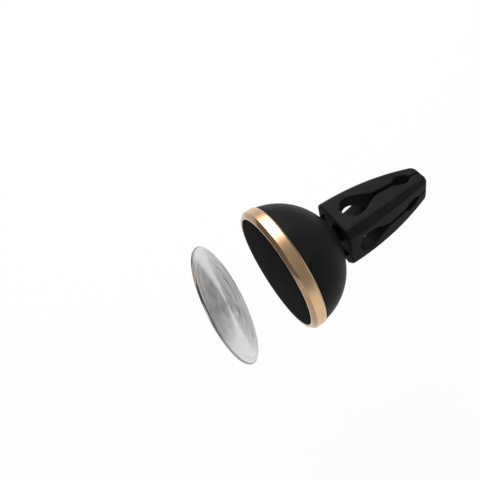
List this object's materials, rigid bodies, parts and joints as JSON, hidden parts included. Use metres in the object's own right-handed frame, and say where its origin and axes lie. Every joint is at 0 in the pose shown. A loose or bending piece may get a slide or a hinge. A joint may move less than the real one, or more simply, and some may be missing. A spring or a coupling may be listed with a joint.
{
  "type": "magnetic car vent phone mount",
  "caption": "Magnetic phone mount for a car air vent: ball-jointed round magnet head with a metal trim ring, square rubber prong clip, and a loose steel plate.",
  "frame": {"origin": "middle of the narrow throat of the clip's slots, where the vent blade is gripped", "axes": "+Y along the mount's axis from the magnet head to the clip's tip, +Z out of the clip's top face, +X to its right"},
  "size_m": [0.032, 0.0637, 0.032],
  "materials": {
    "rubber_pad": "matt moulded rubber, slightly textured",
    "film": "translucent adhesive film",
    "gold_ring": "champagne gold anodised, satin band with polished chamfers",
    "black_shell": "soft-touch matt black",
    "black_plastic": "moulded, matt",
    "magnet_nickel": "nickel plated",
    "steel": "zinc plated",
    "white_acetal": "natural acetal",
    "stud_black": "polished black",
    "clip_rubber": "matt black silicone rubber",
    "disc_steel": "circular brushed with a polished bevel"
  },
  "bodies": {
    "clip": {"clip_base": "clip_rubber", "clip_core": "steel", "stud_screw": "steel", "ball_stud": "stud_black"},
    "joint_liner": {"ball_liner": "white_acetal"},
    "joint_seat": {"pressure_cup": "white_acetal", "seat_ring": "white_acetal"},
    "head": {"dome_shell": "black_shell", "retainer_ring": "black_plastic", "spring_washer": "steel", "yoke_plate": "steel", "magnet_tray": "black_plastic", "magnet_1": "magnet_nickel", "magnet_2": "magnet_nickel", "magnet_3": "magnet_nickel", "magnet_4": "magnet_nickel", "magnet_5": "magnet_nickel", "magnet_6": "magnet_nickel", "tray_screws": "steel", "front_cover": "black_plastic", "pad_adhesive": "film", "face_pad": "rubber_pad", "trim_ring": "gold_ring"},
    "plate": {"metal_plate": "disc_steel", "plate_adhesive": "film"},
    "jaw_ur": {"jaw_upper_right": "clip_rubber"},
    "jaw_ul": {"jaw_upper_left": "clip_rubber"},
    "jaw_lr": {"jaw_lower_right": "clip_rubber"},
    "jaw_ll": {"jaw_lower_left": "clip_rubber"}
  },
  "joints": [
    {"name": "head_pan", "type": "hinge", "parent": "clip", "child": "joint_liner", "pos_m": [0, -0.02035, 0], "axis": [0, 0, 1], "range_deg": [-13, 13]},
    {"name": "head_tilt", "type": "hinge", "parent": "joint_liner", "child": "joint_seat", "pos_m": [0, -0.02035, 0], "axis": [1, 0, 0], "range_deg": [-13, 13]},
    {"name": "head_spin", "type": "hinge", "parent": "joint_seat", "child": "head", "pos_m": [0, -0.02035, 0], "axis": [0, 1, 0], "continuous": true},
    {"name": "plate_approach", "type": "hinge", "parent": "head", "child": "plate", "pos_m": [-0.02319, -0.04095, -0.02132], "axis": [-0.6769, 0, 0.7361], "range_deg": [0, 23.7]},
    {"name": "jaw_ur_flex", "type": "hinge", "parent": "clip", "child": "jaw_ur", "pos_m": [0, -0.00785, 0.00652], "axis": [1, 0, 0], "range_deg": [0, 6], "stiffness_Nm_per_rad": 0.1},
    {"name": "jaw_ul_flex", "type": "hinge", "parent": "clip", "child": "jaw_ul", "pos_m": [0, -0.00785, 0.00652], "axis": [1, 0, 0], "range_deg": [0, 6], "stiffness_Nm_per_rad": 0.1},
    {"name": "jaw_lr_flex", "type": "hinge", "parent": "clip", "child": "jaw_lr", "pos_m": [0, -0.00785, -0.00652], "axis": [-1, 0, 0], "range_deg": [0, 6], "stiffness_Nm_per_rad": 0.1},
    {"name": "jaw_ll_flex", "type": "hinge", "parent": "clip", "child": "jaw_ll", "pos_m": [0, -0.00785, -0.00652], "axis": [-1, 0, 0], "range_deg": [0, 6], "stiffness_Nm_per_rad": 0.1}
  ],
  "couplings": [
    {"joint": "jaw_ul_flex", "follows": "jaw_ur_flex", "ratio": 1},
    {"joint": "jaw_lr_flex", "follows": "jaw_ur_flex", "ratio": 1},
    {"joint": "jaw_ll_flex", "follows": "jaw_ur_flex", "ratio": 1}
  ]
}
